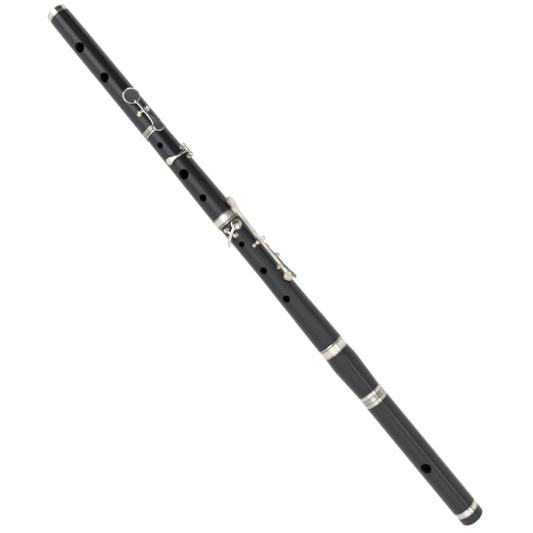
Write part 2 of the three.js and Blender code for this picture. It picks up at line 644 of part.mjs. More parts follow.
addFootJoint();
addLowerBody();
addUpperBody();
addBarrel();
addHead();
addRings();
addLapping('foot_tenon_lapping', shoulderOf(FOOT_TOP), footTenonEnd, footTenonRadius);
addLapping('lower_tenon_lapping', shoulderOf(LOWER_BODY_TOP), lowerTenonEnd, lowerTenonRadius);
addLapping('upper_tenon_lapping', upperShoulder, upperTenonEnd, upperTenonRadius);

const keyNames = { eb: 'eb_key', f: 'f_key', gsharp: 'gsharp_key', bflat: 'bflat_key', c: 'c_key' };
for (const [id, name] of Object.entries(keyNames)) addHinge(name, KEYS[id]);
addEbKey();
addFKey();
addGsharpKey();
addBflatKey();
addCKey();

const guideFrame = seatFrame(GUIDE.station, GUIDE.degrees);
flute.add(guideFrame);
addMesh('c_key_guide', toGeometry(guideParts()), keyMetal, guideFrame);

export default flute;
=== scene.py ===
"""The looks of a keyed wooden concert flute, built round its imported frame.

Shapes are written in millimetres and turned into metres when a mesh is made. Stations, seats
and hinges are read from the frame: rings from their boxes, keys from their joints and pads.
"""

import json
import math

import bmesh
import bpy
import numpy as np
from mathutils import Matrix, Vector


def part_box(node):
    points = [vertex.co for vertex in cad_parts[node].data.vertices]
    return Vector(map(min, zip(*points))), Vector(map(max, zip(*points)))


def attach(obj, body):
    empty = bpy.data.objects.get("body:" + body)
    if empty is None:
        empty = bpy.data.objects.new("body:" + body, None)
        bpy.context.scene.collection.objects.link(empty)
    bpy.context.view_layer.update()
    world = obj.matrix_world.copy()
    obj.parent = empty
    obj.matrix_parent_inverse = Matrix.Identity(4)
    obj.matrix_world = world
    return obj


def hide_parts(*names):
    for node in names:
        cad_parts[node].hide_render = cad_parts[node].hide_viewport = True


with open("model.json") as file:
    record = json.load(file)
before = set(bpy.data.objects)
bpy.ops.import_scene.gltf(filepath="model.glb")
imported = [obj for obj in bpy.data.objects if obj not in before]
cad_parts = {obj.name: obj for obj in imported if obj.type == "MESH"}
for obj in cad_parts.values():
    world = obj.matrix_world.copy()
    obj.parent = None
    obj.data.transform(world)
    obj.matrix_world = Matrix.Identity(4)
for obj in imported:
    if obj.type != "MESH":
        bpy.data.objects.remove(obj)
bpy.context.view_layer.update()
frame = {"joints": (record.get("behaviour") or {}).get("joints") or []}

MM = 0.001
SIDES = 144  # facets round a turned piece
PIN_SIDES = 32
FACET = math.cos(math.pi / 24)  # the frame's tubes are measured across their flats


# ------------------------------------------------------------------ reading the frame

def span(node):
    """First and last station, and outer radius, of a turned CAD node in millimetres."""
    low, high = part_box(node)
    return low.x / MM, high.x / MM, (high.z - low.z) / 2 / MM


AXIS = sum(corner.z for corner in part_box("barrel")) / 2 / MM
JOINTS = {joint["name"]: joint for joint in frame["joints"]}


def tube_frame(station, angle):
    """A place on the tube: local X along the bore, local Z straight out of it."""
    return Matrix.Translation((station, 0, AXIS)) @ Matrix.Rotation(-angle, 4, "X")


def frame_at(point):
    """The tube frame under a point given in metres, and the point's height in it."""
    y, z = point[1] / MM, point[2] / MM - AXIS
    return tube_frame(point[0] / MM, math.atan2(y, z)), math.hypot(y, z)


def hinge_of(key):
    """A key's tube frame, its axle's height, and the axle's turn about local Z."""
    joint = JOINTS[key + "_pivot"]
    place, height = frame_at(joint["pos_m"])
    axle = place.to_3x3().inverted() @ Vector(joint["axis"])
    turn = math.atan2(axle.y, axle.x)
    return place, height, turn


# radius and thickness of the pads
WIDE_PAD = (5.9, 3.1)
SMALL_PAD = (4.5, 2.4)
PADS = {"eb_key": WIDE_PAD, "f_key": SMALL_PAD, "gsharp_key": SMALL_PAD, "bflat_key": SMALL_PAD,
        "c_key": SMALL_PAD}


def pad_of(key):
    """The tube frame under a key's pad, and the pad's lower and upper height."""
    low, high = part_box(key + "_pad")
    place, middle = frame_at((low + high) / 2)
    half = PADS[key][1] / 2
    return place, middle - half, middle + half


# ------------------------------------------------------------------ meshes

def make_object(name, verts, faces, smooth_angle=35):
    """A mesh object from millimetre points, faces turned outwards and shaded smooth."""
    mesh = bpy.data.meshes.new(name)
    mesh.from_pydata([tuple(c * MM for c in v) for v in verts], [], faces)
    obj = bpy.data.objects.new(name, mesh)
    bpy.context.scene.collection.objects.link(obj)
    clean(obj, smooth_angle)
    return obj


def clean(obj, smooth_angle=35):
    """Merges doubles, drops empty faces, turns faces outwards and sets the shading."""
    bm = bmesh.new()
    bm.from_mesh(obj.data)
    bmesh.ops.remove_doubles(bm, verts=bm.verts, dist=2e-7)
    bmesh.ops.dissolve_degenerate(bm, edges=bm.edges, dist=1e-7)
    bmesh.ops.recalc_face_normals(bm, faces=bm.faces)
    bm.to_mesh(obj.data)
    bm.free()
    obj.data.shade_smooth()
    obj.data.set_sharp_from_angle(angle=math.radians(smooth_angle))


def revolve(outline, sides, point):
    """Verts and quads of a closed outline turned round; point(a, b, sin, cos) places one."""
    count = len(outline)
    on_axis = [point(a, b, 0, 1) == point(a, b, 1, 0) for a, b in outline]
    verts, faces = [], []
    for i in range(sides):
        angle = 2 * math.pi * i / sides
        for a, b in outline:
            verts.append(point(a, b, math.sin(angle), math.cos(angle)))
    for i in range(sides):
        here, there = i * count, (i + 1) % sides * count
        for k in range(count):
            n = (k + 1) % count
            if not (on_axis[k] and on_axis[n]):
                faces.append((here + k, here + n, there + n, there + k))
    return verts, faces


def rounded(outline, radius=0.3, steps=3, turn=25):
    """The closed outline with each sharp corner eased by a small curve."""
    points = [Vector(p) for p in outline]
    count = len(points)
    result = []
    for i, corner in enumerate(points):
        before, after = points[i - 1] - corner, points[(i + 1) % count] - corner
        if before.length < 1e-6 or after.length < 1e-6:
            result.append(corner)
            continue
        bend = math.pi - before.angle(after)
        if bend < math.radians(turn) or min(corner.y, points[i - 1].y, points[(i + 1) % count].y) <= 0:
            result.append(corner)
            continue
        start = corner + before.normalized() * min(radius, before.length * 0.4)
        end = corner + after.normalized() * min(radius, after.length * 0.4)
        for k in range(steps + 1):
            t = k / steps
            result.append(start * (1 - t) ** 2 + corner * 2 * t * (1 - t) + end * t ** 2)
    return [(p.x, p.y) for p in result]


def turned(name, outline, sides=SIDES, ease=0.3):
    """A piece turned on the bore axis from a closed loop of (station, radius)."""
    shape = rounded(outline, ease) if ease else outline
    verts, faces = revolve(shape, sides, lambda x, r, s, c: (x, r * s, AXIS + r * c))
    return make_object(name, verts, faces)


def spun(outline, sides=PIN_SIDES):
    """Verts and faces of a loop of (radius, height) turned on local Z."""
    return revolve(outline, sides, lambda r, z, s, c: (r * s, r * c, z))


def moved(shape, matrix):
    """A shape's verts put through a matrix, with its faces."""
    verts, faces = shape
    return [tuple(matrix @ Vector(v)) for v in verts], faces


def merged(shapes):
    """Several shapes as one list of verts and faces."""
    verts, faces = [], []
    for more_verts, more_faces in shapes:
        start = len(verts)
        verts += more_verts
        faces += [tuple(start + i for i in face) for face in more_faces]
    return verts, faces


def catmull(rows, steps):
    """Rows of numbers with smooth rows put between them."""
    rows = [np.array(row, float) for row in rows]
    result = []
    for i in range(len(rows) - 1):
        p0, p1, p2 = rows[max(i - 1, 0)], rows[i], rows[i + 1]
        p3 = rows[min(i + 2, len(rows) - 1)]
        for k in range(steps):
            t = k / steps
            result.append(0.5 * (2 * p1 + (p2 - p0) * t + (2 * p0 - 5 * p1 + 4 * p2 - p3) * t * t
                                 + (3 * p1 - p0 - 3 * p2 + p3) * t ** 3))
    result.append(rows[-1])
    return result


def loft(stations, steps=5, around=20, square=0.62):
    """A bar along stations of (x, y, z, up y, up z, half width, half thickness).

    Its section is an ellipse at square 1 and nearer to a rectangle below that.
    """
    rows = catmull(stations, steps)
    centres = [Vector(row[:3]) for row in rows]
    verts, faces = [], []
    for i, row in enumerate(rows):
        ahead = centres[min(i + 1, len(rows) - 1)] - centres[max(i - 1, 0)]
        along = ahead.normalized()
        side = Vector((0, row[3], row[4])).cross(along).normalized()
        up = along.cross(side)
        half, thick = max(row[5], 0.05), max(row[6], 0.05)
        for k in range(around):
            angle = 2 * math.pi * k / around
            c, s = math.cos(angle), math.sin(angle)
            wide = math.copysign(abs(c) ** square, c) * half
            high = math.copysign(abs(s) ** 0.8, s) * thick
            verts.append(tuple(centres[i] + side * wide + up * high))
    for i in range(len(rows) - 1):
        for k in range(around):
            n = (k + 1) % around
            a, b = i * around, (i + 1) * around
            faces.append((a + k, a + n, b + n, b + k))
    last = (len(rows) - 1) * around
    faces.append(tuple(range(around)))
    faces.append(tuple(last + k for k in reversed(range(around))))
    return verts, faces


def carve(obj, shapes, operation="DIFFERENCE"):
    """Cuts (or joins) closed shapes into an object, and applies the result."""
    for shape in shapes:
        tool = make_object("tool", *shape)
        modifier = obj.modifiers.new("carve", "BOOLEAN")
        modifier.operation = operation
        modifier.solver = "EXACT"
        modifier.object = tool
        apply_modifiers(obj)
        bpy.data.objects.remove(tool)
    clean(obj)
    return obj


def apply_modifiers(obj):
    """Makes what the modifiers show the object's own mesh."""
    graph = bpy.context.evaluated_depsgraph_get()
    mesh = bpy.data.meshes.new_from_object(obj.evaluated_get(graph))
    obj.modifiers.clear()
    obj.data = mesh


def finish_piece(obj, body, replaced, material):
    """Gives a finished piece its shading and material, and hands it to the frame."""
    modifier = obj.modifiers.new("shading", "WEIGHTED_NORMAL")
    modifier.keep_sharp = True
    apply_modifiers(obj)
    obj.data.materials.clear()
    obj.data.materials.append(material)
    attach(obj, body)
    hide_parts(replaced)
    return obj


# ------------------------------------------------------------------ materials

class Nodes:
    """A material's node tree, with short calls to add and link its nodes."""

    def __init__(self, name):
        self.material = bpy.data.materials.new(name)
        self.material.use_nodes = True
        self.tree = self.material.node_tree
        self.shader = self.tree.nodes["Principled BSDF"]

    def add(self, kind, links=None, **settings):
        node = self.tree.nodes.new(kind)
        for key, value in settings.items():
            setattr(node, key, value)
        for key, value in (links or {}).items():
            socket = node.inputs[key]
            if isinstance(value, bpy.types.NodeSocket):
                self.tree.links.new(value, socket)
            else:
                socket.default_value = value
        return node

    def place(self, scale):
        """Object coordinates, scaled along and across the bore."""
        coords = self.add("ShaderNodeTexCoord")
        mapping = self.add("ShaderNodeMapping", {"Vector": coords.outputs["Object"], "Scale": scale})
        return mapping.outputs["Vector"]

    def noise(self, scale, detail=4.0, roughness=0.55, distortion=0.0):
        node = self.add("ShaderNodeTexNoise", {
            "Vector": self.place(scale), "Scale": 1.0, "Detail": detail,
            "Roughness": roughness, "Distortion": distortion})
        return node.outputs["Fac"]

    def spread(self, value, low, high, to_low, to_high):
        node = self.add("ShaderNodeMapRange", {
            "Value": value, "From Min": low, "From Max": high, "To Min": to_low, "To Max": to_high})
        return node.outputs["Result"]

    def ramp(self, value, stops):
        node = self.add("ShaderNodeValToRGB", {"Fac": value})
        ramp = node.color_ramp
        while len(ramp.elements) < len(stops):
            ramp.elements.new(0.5)
        for element, (position, color) in zip(ramp.elements, stops):
            element.position = position
            element.color = (*color, 1)
        return node.outputs["Color"]

    def blend(self, fac, first, second, mode="MIX"):
        node = self.add("ShaderNodeMix", data_type="RGBA", blend_type=mode)
        for index, value in ((0, fac), (6, first), (7, second)):
            if isinstance(value, bpy.types.NodeSocket):
                self.tree.links.new(value, node.inputs[index])
            else:
                node.inputs[index].default_value = value
        return node.outputs[2]

    def bump(self, height, strength, distance, under=None):
        links = {"Height": height, "Strength": strength, "Distance": distance}
        if under:
            links["Normal"] = under
        return self.add("ShaderNodeBump", links).outputs["Normal"]

    def set(self, **inputs):
        for key, value in inputs.items():
            socket = self.shader.inputs[key.replace("_", " ")]
            if isinstance(value, bpy.types.NodeSocket):
                self.tree.links.new(value, socket)
            else:
                socket.default_value = value
        return self.material


def blackwood():
    """Oiled near-black hardwood: long grain, short pores and a soft polish."""
    n = Nodes("blackwood")
    streaks = n.noise((22, 700, 700), 5.0, 0.6, 0.2)
    figure = n.noise((5, 110, 110), 3.0, 0.5, 0.6)
    pores = n.noise((260, 5200, 5200), 2.0, 0.5)
    base = n.ramp(streaks, [(0.30, (0.0045, 0.0045, 0.0055)), (0.52, (0.010, 0.0095, 0.0100)),
                            (0.72, (0.022, 0.017, 0.0145))])
    brown = n.spread(figure, 0.5, 0.8, 0.0, 0.6)
    color = n.blend(brown, base, (0.020, 0.013, 0.010, 1))
    polish = n.spread(n.noise((40, 240, 240), 3.0), 0.3, 0.7, 0.12, 0.22)
    pore_mask = n.spread(pores, 0.60, 0.72, 0.0, 1.0)
    roughness = n.add("ShaderNodeMath", {0: polish, 1: n.spread(pore_mask, 0, 1, 0, 0.16)},
                      operation="ADD").outputs[0]
    normal = n.bump(pore_mask, 0.25, -0.00006)
    normal = n.bump(streaks, 0.14, 0.00005, normal)
    return n.set(Base_Color=color, Roughness=roughness, Normal=normal, IOR=1.41)


def nickel_silver(name, light, dark, shine, scratch_scale, worn=0.5):
    """Warm white metal: cloudy tarnish, fine scratches and a polish that varies."""
    n = Nodes(name)
    cloud = n.noise((90, 90, 90), 4.0, 0.6, 0.4)
    specks = n.noise((900, 900, 900), 3.0, 0.6)
    scratches = n.noise(scratch_scale, 2.0, 0.6)
    color = n.blend(n.spread(cloud, 0.38, 0.72, 0.0, worn), (*light, 1), (*dark, 1))
    stain = n.spread(specks, 0.62, 0.78, 0.0, 0.45)
    color = n.blend(stain, color, (0.42, 0.36, 0.26, 1))
    roughness = n.spread(cloud, 0.3, 0.75, shine, shine + 0.13)
    normal = n.bump(scratches, 0.12, 0.00002)
    return n.set(Base_Color=color, Metallic=1.0, Roughness=roughness, Normal=normal)


def plain_steel():
    """Dull blued steel of screws and springs."""
    n = Nodes("blued_steel")
    cloud = n.noise((300, 300, 300), 4.0)
    color = n.ramp(cloud, [(0.3, (0.36, 0.37, 0.40)), (0.7, (0.60, 0.60, 0.60))])
    normal = n.bump(n.noise((2500, 2500, 2500), 2.0), 0.1, 0.00002)
    return n.set(Base_Color=color, Metallic=1.0, Roughness=n.spread(cloud, 0.3, 0.7, 0.25, 0.42),
                 Normal=normal)


def pad_leather():
    """Tan leather with a fine cell grain."""
    n = Nodes("pad_leather")
    cell = n.add("ShaderNodeTexVoronoi", {"Vector": n.place((2600, 2600, 2600)), "Scale": 1.0})
    cloud = n.noise((260, 260, 260), 4.0)
    color = n.ramp(cloud, [(0.3, (0.46, 0.34, 0.21)), (0.7, (0.66, 0.54, 0.38))])
    normal = n.bump(cell.outputs["Distance"], 0.35, 0.0001)
    return n.set(Base_Color=color, Roughness=n.spread(cloud, 0.3, 0.7, 0.65, 0.85), Normal=normal)


def stopper_cork():
    """Cork with dark flecks and open cells."""
    n = Nodes("stopper_cork")
    cell = n.add("ShaderNodeTexVoronoi", {"Vector": n.place((900, 900, 900)), "Scale": 1.0})
    flecks = n.spread(n.noise((420, 420, 420), 4.0), 0.56, 0.66, 0.0, 1.0)
    color = n.blend(flecks, (0.50, 0.33, 0.18, 1), (0.16, 0.08, 0.04, 1))
    normal = n.bump(cell.outputs["Distance"], 0.4, 0.00015)
    return n.set(Base_Color=color, Roughness=0.86, Normal=normal)


def waxed_thread():
    """Red waxed thread, mottled along its twist."""
    n = Nodes("waxed_thread")
    twist = n.noise((5200, 900, 900), 3.0)
    color = n.ramp(twist, [(0.3, (0.20, 0.035, 0.02)), (0.7, (0.46, 0.12, 0.07))])
    normal = n.bump(twist, 0.5, 0.0001)
    return n.set(Base_Color=color, Roughness=n.spread(twist, 0.3, 0.7, 0.55, 0.75), Normal=normal)


WOOD = blackwood()
TURNING_MARKS = (60, 3000, 3000)
POLISHING_MARKS = (700, 1500, 1500)
RING_SILVER = nickel_silver("ring_silver", (0.63, 0.585, 0.50), (0.42, 0.36, 0.28), 0.11, TURNING_MARKS, 0.7)
# near-black silver for the rings' grooves: partly oxide, partly painted shade in place of the grooves'
# occlusion
GROOVE_OXIDE_AND_SHADE = nickel_silver("oxide_and_painted_shade", (0.10, 0.085, 0.065), (0.05, 0.04, 0.03), 0.38, TURNING_MARKS)
KEY_SILVER = nickel_silver("key_silver", (0.66, 0.61, 0.52), (0.36, 0.29, 0.21), 0.08, POLISHING_MARKS, 0.8)
COOL_SILVER = nickel_silver("cool_silver", (0.69, 0.69, 0.68), (0.52, 0.51, 0.48), 0.12, POLISHING_MARKS, 0.7)
BROWN_SILVER = nickel_silver("brown_silver", (0.42, 0.33, 0.26), (0.20, 0.12, 0.08), 0.12,
                             POLISHING_MARKS, 1.0)
TUBE_SILVER = nickel_silver("tube_silver", (0.24, 0.25, 0.27), (0.12, 0.13, 0.14), 0.30, TURNING_MARKS)
STEEL = plain_steel()
LEATHER = pad_leather()
CORK = stopper_cork()
THREAD = waxed_thread()


# ------------------------------------------------------------------ turned sections

GAP = 0.3  # room that the frame leaves between neighbours
RING_WALL = 0.8
TUBE_WALL = 0.5
FOOT_SOCKET = {"depth": 20.0, "radius": 8.8}
LOWER_SOCKET = {"depth": 26.0, "radius": 10.2}
BARREL_SOCKET = {"depth": 25.0, "radius": 11.5}
TENON_END_GAP = 0.5
LAPPING_DEPTH = 0.8
LAPPING_MARGIN = 4.0
SLIDE_BORE = 10.8
HEAD_BORE = 10.0
HEAD_RADIUS = 13.15
HOLE_CHAMFER = 0.25
HOLE_LINE = math.radians(-24)

# stations and nominal radii of the wood between its rings
FOOT_OUTLINE = [(-315, 11.6), (-290, 11.85), (-240, 12.0)]
LOWER_OUTLINE = [(-150, 12.25), (-125, 12.5), (-105, 12.9), (-80, 13.25)]
UPPER_OUTLINE = [(-25, 12.15), (10, 12.15), (35, 12.75), (55, 13.0), (75, 13.5)]
BARREL_OUTLINE = [(121, 14.25), (130, 14.65), (140, 14.15), (150, 13.65), (160, 13.1)]

# station and diameter of each open hole
FOOT_HOLES = [(-284.9, 10.3), (-246.0, 10.0)]
LOWER_HOLES = [(-158.2, 6.3), (-120.8, 10.7), (-90.3, 7.7)]
UPPER_HOLES = [(-30.0, 6.2), (4.2, 7.5), (40.4, 7.5)]
EMBOUCHURE = {"station": 259.6, "along": 11.1, "across": 10.4}
PAD_HOLES = {"eb_key": (8.0, 6.5), "f_key": (7.0, 5.0), "gsharp_key": (6.5, 5.0),
             "bflat_key": (6.0, 5.0), "c_key": (6.5, 5.0)}

# where the sections meet, read from the frame
FOOT_TOP = span("foot_joint")[1]
LOWER_TOP = span("lower_body")[1]
BARREL_BOTTOM = span("barrel")[0]
HEAD_TOP = span("head_joint")[1]


def flat(radius):
    """A nominal radius as the frame's faceted tubes show it."""
    return radius * FACET


def curve(points, steps=6):
    """Outline points with smooth ones between them, at the frame's radii."""
    return [(x, flat(r)) for x, r in catmull(points, steps)]


def under_ring(node):
    """The spigot that a ring sits on: its two stations and the wood's radius there."""
    low, high, radius = span(node)
    return low, high, radius - flat(RING_WALL + GAP)


def tenon(shoulder, end, radius):
    """Tenon outline from its shoulder to its end, with the groove for the lapping."""
    way = math.copysign(1, end - shoulder)
    low, high = shoulder + way * LAPPING_MARGIN, end - way * LAPPING_MARGIN
    groove = radius - LAPPING_DEPTH
    points = [(shoulder, radius), (low, radius), (low, groove), (high, groove), (high, radius),
              (end, radius)]
    return [(x, flat(r)) for x, r in points]


def round_cutter(radius, low, high, rim=None, sides=64):
    """A drill in a tube frame, wider above the rim height by the hole's chamfer."""
    outline = [(0, low), (radius, low)]
    if rim:
        outline += [(radius, rim - 0.2), (radius + HOLE_CHAMFER, rim + 0.35), (radius + HOLE_CHAMFER, high)]
    else:
        outline += [(radius, high)]
    return spun(outline + [(0, high)], sides)


def hole_cutters(holes, outer):
    """Cutters of the open holes, on the line rolled from the top."""
    return [moved(round_cutter(diameter / 2, 2, 20, outer(station)), tube_frame(station, HOLE_LINE))
            for station, diameter in holes]


def pad_cutters(keys):
    """The drilled hole and the flat seat under each pad."""
    cutters = []
    for key in keys:
        place, low, _ = pad_of(key)
        hole, pocket = PAD_HOLES[key]
        seat = low - GAP
        cutters.append(moved(round_cutter(pocket, seat, 20), place))
        cutters.append(moved(round_cutter(hole / 2, 2, seat + 1), place))
    return cutters


def radius_at(outline):
    """A function that reads an outline's radius at a station."""
    stations = [x for x, _ in outline]
    radii = [r for _, r in outline]
    return lambda station: float(np.interp(station, stations, radii))


def build_foot():
    """The foot joint: socket at its top, two vent holes and the E flat key's seat."""
    low, ring_top, spigot = under_ring("foot_end_ring")
    ring_low, top, socket_spigot = under_ring("foot_socket_ring")
    body = curve([(ring_top + GAP, 11.42)] + FOOT_OUTLINE + [(ring_low - GAP, 12.25)])
    socket, bottom = flat(FOOT_SOCKET["radius"]), top - FOOT_SOCKET["depth"]
    outline = [(low, flat(5.9)), (low, spigot), (ring_top + GAP, spigot), *body,
               (ring_low - GAP, socket_spigot), (top, socket_spigot), (top, socket),
               (bottom, socket), (bottom, flat(5.6))]
    obj = turned("foot_wood", outline)
    carve(obj, hole_cutters(FOOT_HOLES, radius_at(body)) + pad_cutters(["eb_key"]))
    finish_piece(obj, "foot", "foot_joint", WOOD)


def build_lower_body():
    """The lower body: tenon below, socket above, three holes and the F key's seat."""
    ring_low, top, spigot = under_ring("lower_body_ring")
    shoulder = FOOT_TOP + GAP
    end = FOOT_TOP - FOOT_SOCKET["depth"] + TENON_END_GAP
    body = curve([(shoulder, 11.75)] + LOWER_OUTLINE + [(ring_low - GAP, 13.35)])
    socket, bottom = flat(LOWER_SOCKET["radius"]), top - LOWER_SOCKET["depth"]
    pin = tenon(shoulder, end, FOOT_SOCKET["radius"] - GAP)[::-1]
    outline = [(end, flat(5.7)), *pin, *body, (ring_low - GAP, spigot), (top, spigot),
               (top, socket), (bottom, socket), (bottom, flat(7.2))]
    obj = turned("lower_body_wood", outline)
    carve(obj, hole_cutters(LOWER_HOLES, radius_at(body)) + pad_cutters(["f_key"]))
    finish_piece(obj, "lower_body", "lower_body", WOOD)


def build_upper_body():
    """The upper body: a tenon at each end, three holes and three pad seats."""
    shoulder = LOWER_TOP + GAP
    end = LOWER_TOP - LOWER_SOCKET["depth"] + TENON_END_GAP
    upper_shoulder = BARREL_BOTTOM - GAP
    upper_end = BARREL_BOTTOM + BARREL_SOCKET["depth"] - TENON_END_GAP
    body = curve([(shoulder, 12.4)] + UPPER_OUTLINE + [(upper_shoulder, 14.0)])
    pin = tenon(shoulder, end, LOWER_SOCKET["radius"] - GAP)[::-1]
    upper_pin = tenon(upper_shoulder, upper_end, BARREL_SOCKET["radius"] - GAP)
    outline = [(end, flat(7.3)), *pin, *body, *upper_pin, (upper_end, flat(9.1))]
    obj = turned("upper_body_wood", outline)
    carve(obj, hole_cutters(UPPER_HOLES, radius_at(body))
          + pad_cutters(["gsharp_key", "bflat_key", "c_key"]))
    finish_piece(obj, "upper_body", "upper_body", WOOD)


def build_barrel():
    """The barrel: bulging wood over a socket and the tuning slide's bore."""
    low, ring_top, spigot = under_ring("barrel_lower_ring")
    ring_low, top, upper_spigot = under_ring("barrel_upper_ring")
    lining_inner = flat(9.2)
    lip = span("slide_tube")[0] - GAP
    bottom = low + BARREL_SOCKET["depth"]
    body = curve([(ring_top + GAP, 13.75)] + BARREL_OUTLINE + [(ring_low - GAP, 12.8)], 8)
    outline = [(low, flat(BARREL_SOCKET["radius"])), (low, spigot), (ring_top + GAP, spigot), *body,
               (ring_low - GAP, upper_spigot), (top, upper_spigot), (top, flat(SLIDE_BORE)),
               (lip, flat(SLIDE_BORE)), (lip, lining_inner), (bottom, lining_inner),
               (bottom, flat(BARREL_SOCKET["radius"]))]
    finish_piece(turned("barrel_wood", outline), "barrel", "barrel", WOOD)


def embouchure_cutter(chamfer):
    """The oval blowing hole, whose sides flare a little towards the bore."""
    outline = [(0, 2), (1.06, 2), (1.0, 13.0), (1.0 + chamfer, 13.5), (1.0 + chamfer, 20), (0, 20)]
    size = Matrix.Diagonal((EMBOUCHURE["along"] / 2, EMBOUCHURE["across"] / 2, 1, 1))
    return moved(spun(outline, 96), tube_frame(EMBOUCHURE["station"], HOLE_LINE) @ size)


def metal_tube(node, name):
    """A thin drawn tube in the place of a tube of the frame."""
    low, high, outer = span(node)
    inner = outer - flat(TUBE_WALL)
    return turned(name, [(low, inner), (low, outer), (high, outer), (high, inner)], ease=0.12)


def build_head():
    """The head's wood and its metal lining, both cut by the blowing hole."""
    ring_low, ring_top, spigot = under_ring("head_lower_ring")
    end_low, end_high, end_spigot = under_ring("head_end_ring")
    bore = flat(HEAD_BORE)
    wood = flat(HEAD_RADIUS)
    outline = [(ring_low, bore), (ring_low, spigot), (ring_top + GAP, spigot), (ring_top + GAP, wood),
               (end_low - GAP, wood), (end_low - GAP, end_spigot), (end_high, end_spigot),
               (end_high, bore)]
    obj = carve(turned("head_wood", outline), [embouchure_cutter(0.03)])
    finish_piece(obj, "head", "head_joint", WOOD)
    tube = carve(metal_tube("head_lining", "head_lining_tube"), [embouchure_cutter(0)])
    finish_piece(tube, "head", "head_lining", TUBE_SILVER)


def build_slide_tube():
    """The outer tube of the tuning slide."""
    tube = metal_tube("slide_tube", "barrel_slide_tube")
    finish_piece(tube, "slide_tube", "slide_tube", TUBE_SILVER)


def build_cap_and_cork():
    """The cap with its rounded crown, and the cork stopper under it."""
    low, high, radius = span("head_cap")
    bottom = HEAD_TOP + GAP
    plug = flat(9.7)
    edge = 3.2
    crown = [(high - edge * (1 - math.sin(a)), radius - edge * (1 - math.cos(a)))
             for a in np.linspace(0, math.pi / 2, 9)]
    outline = [(low, 0), (low, plug), (bottom, plug), (bottom, radius), *crown, (high, 0)]
    finish_piece(turned("cap_wood", outline), "head_cap", "head_cap", WOOD)
    low, high, radius = span("stopper_cork")
    outline = [(low, 0), (low, radius), (high, radius), (high, 0)]
    finish_piece(turned("cork_stopper", outline, ease=0.6), "stopper_cork", "stopper_cork", CORK)


def build_lappings():
    """Thread wound in each tenon's groove, one round ridge for each turn."""
    pitch = 0.55
    for node in ("foot_tenon_lapping", "lower_tenon_lapping", "upper_tenon_lapping"):
        low, high, outer = span(node)
        turns = round((high - low) / pitch)
        pitch_here = (high - low) / turns
        inner = outer - flat(LAPPING_DEPTH - GAP)
        ridge = [(low + pitch_here * (i + k / 6), outer - 0.16 * (1 - math.sin(math.pi * k / 6)))
                 for i in range(turns) for k in range(6)]
        outline = [(low, inner), *ridge, (high, outer - 0.16), (high, inner)]
        obj = turned(node + "_thread", outline, 96, ease=0)
        finish_piece(obj, node, node, THREAD)


# ------------------------------------------------------------------ rings

def groove(station, width=0.5, depth=0.22):
    """A turned groove as (station, drop) pairs."""
    return [(station - width / 2, 0), (station - width / 4, depth), (station + width / 4, depth),
            (station + width / 2, 0)]


def ribs(start, count):
    """Grooves side by side, that leave fine ribs between them."""
    pitch = 0.8
    return [pair for k in range(count) for pair in groove(start + pitch * k)]


def bead(low, high):
    """A half-round bead between two stations, sunk so that its top is about level with the ring."""
    steps, sunk, lift = 8, 0.25, 0.28
    return [(low + (high - low) * k / steps, sunk - lift * math.sin(math.pi * k / steps))
            for k in range(steps + 1)]


# each ring's body, and its grooves and beads between its first and last station
RINGS = {
    "foot_end_ring": ("foot", lambda a, b: groove(a + 1.0, 0.5, 0.25) + groove(b - 0.9, 0.5, 0.25)),
    "foot_socket_ring": ("foot", lambda a, b: ribs(a + 0.8, 5) + groove(b - 1.9, 0.7, 0.5)
                         + bead(b - 1.5, b - 0.1)),
    "lower_body_ring": ("lower_body", lambda a, b: groove(a + 0.8, 0.7, 0.45) + groove(b - 2.6, 0.5, 0.3)
                        + groove(b - 1.5, 0.7, 0.5) + bead(b - 1.1, b - 0.1)),
    "barrel_lower_ring": ("barrel", lambda a, b: bead(a + 0.1, a + 1.5) + groove(a + 2.0, 0.7, 0.5)
                          + groove(b - 0.9)),
    "barrel_upper_ring": ("barrel", lambda a, b: groove(a + 0.9) + groove(b - 3.0, 0.5, 0.35)
                          + groove(b - 1.9, 0.5, 0.35) + bead(b - 1.4, b - 0.05)),
    "head_lower_ring": ("head", lambda a, b: bead(a + 0.05, a + 1.4) + groove(a + 1.9, 0.5, 0.35)
                        + groove(a + 3.0, 0.5, 0.35) + groove(b - 0.9)),
    "head_end_ring": ("head", lambda a, b: groove(a + 0.8) + groove(b - 0.8)),
}


def darken_grooves(ring, radius):
    """Gives the floors and walls of a ring's grooves a near-black silver: the oxide that polishing leaves
    there, and painted shade for the dark that falls in such narrow grooves.
    """
    deepest, polished = 0.6, 0.14
    ring.data.materials.append(GROOVE_OXIDE_AND_SHADE)
    for face in ring.data.polygons:
        centre = face.center / MM
        height = math.hypot(centre.y, centre.z - AXIS)
        if radius - deepest < height < radius - polished:
            face.material_index = 1


def build_rings():
    """Each ring turned with its own grooves and beads."""
    for node, (body, detail) in RINGS.items():
        low, high, radius = span(node)
        inner = radius - flat(RING_WALL)
        face = [(station, radius - drop) for station, drop in detail(low, high)]
        outline = [(low, inner), (low, radius), *face, (high, radius), (high, inner)]
        obj = turned(node + "_turned", rounded(outline, 0.12, 2), 192, ease=0)
        finish_piece(obj, body, node, RING_SILVER)
        darken_grooves(obj, radius)


# ------------------------------------------------------------------ keys

POST_BALL = 2.2
POST_NECK = 1.25
AXLE_RADIUS = 0.7
AXLE_HOLE = 0.95
SCREW_HEAD = 0.92
HINGE_RADIUS = 1.85
POST_BODY = {"eb_key": "foot", "f_key": "lower_body", "gsharp_key": "upper_body",
             "bflat_key": "upper_body", "c_key": "upper_body"}
# half the distance between a key's two posts
POST_HALF = {"eb_key": 4.9, "f_key": 5.6, "gsharp_key": 5.2, "bflat_key": 5.5, "c_key": 6.0}
# radius of the wood under each key's posts
WOOD_AT = {"eb_key": 12.1, "f_key": 12.35, "gsharp_key": 12.3, "bflat_key": 12.1, "c_key": 12.1}


